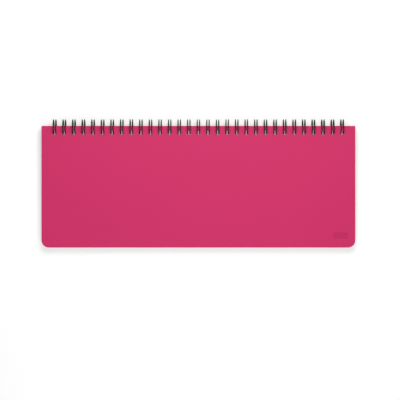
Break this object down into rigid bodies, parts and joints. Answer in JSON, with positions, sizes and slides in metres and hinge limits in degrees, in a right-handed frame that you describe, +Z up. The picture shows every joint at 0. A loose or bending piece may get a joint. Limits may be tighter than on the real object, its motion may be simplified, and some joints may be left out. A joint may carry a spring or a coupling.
{
  "type": "desk pad calendar",
  "caption": "Wide, low pad of weekly leaves between two thin plastic covers, bound along one long edge with a twin wire, lying closed on a desk.",
  "frame": {"origin": "on the desk, under the middle of the closed pad and its rings taken together", "axes": "+X along the binding, +Y from the free edge towards the binding, +Z up"},
  "size_m": [0.277, 0.1133, 0.0136],
  "materials": {
    "cover": "fine matt grain, magenta pink polypropylene sheet",
    "leaves": "uncoated writing paper, cut edges",
    "wire": "black nylon-coated steel wire, satin"
  },
  "bodies": {
    "back": {"back_cover": "cover", "wire_binding": "wire"},
    "leaves": {"page_block": "leaves"},
    "front": {"front_cover": "cover"}
  },
  "joints": [
    {"name": "leaves_hinge", "type": "hinge", "parent": "back", "child": "leaves", "pos_m": [0, 0.04992, 0.00679], "axis": [-1, 0, 0], "range_deg": [0, 183.6]},
    {"name": "front_cover_hinge", "type": "hinge", "parent": "leaves", "child": "front", "pos_m": [0, 0.04994, 0.00615], "axis": [-1, 0, 0], "range_deg": [0, 182.9]}
  ]
}
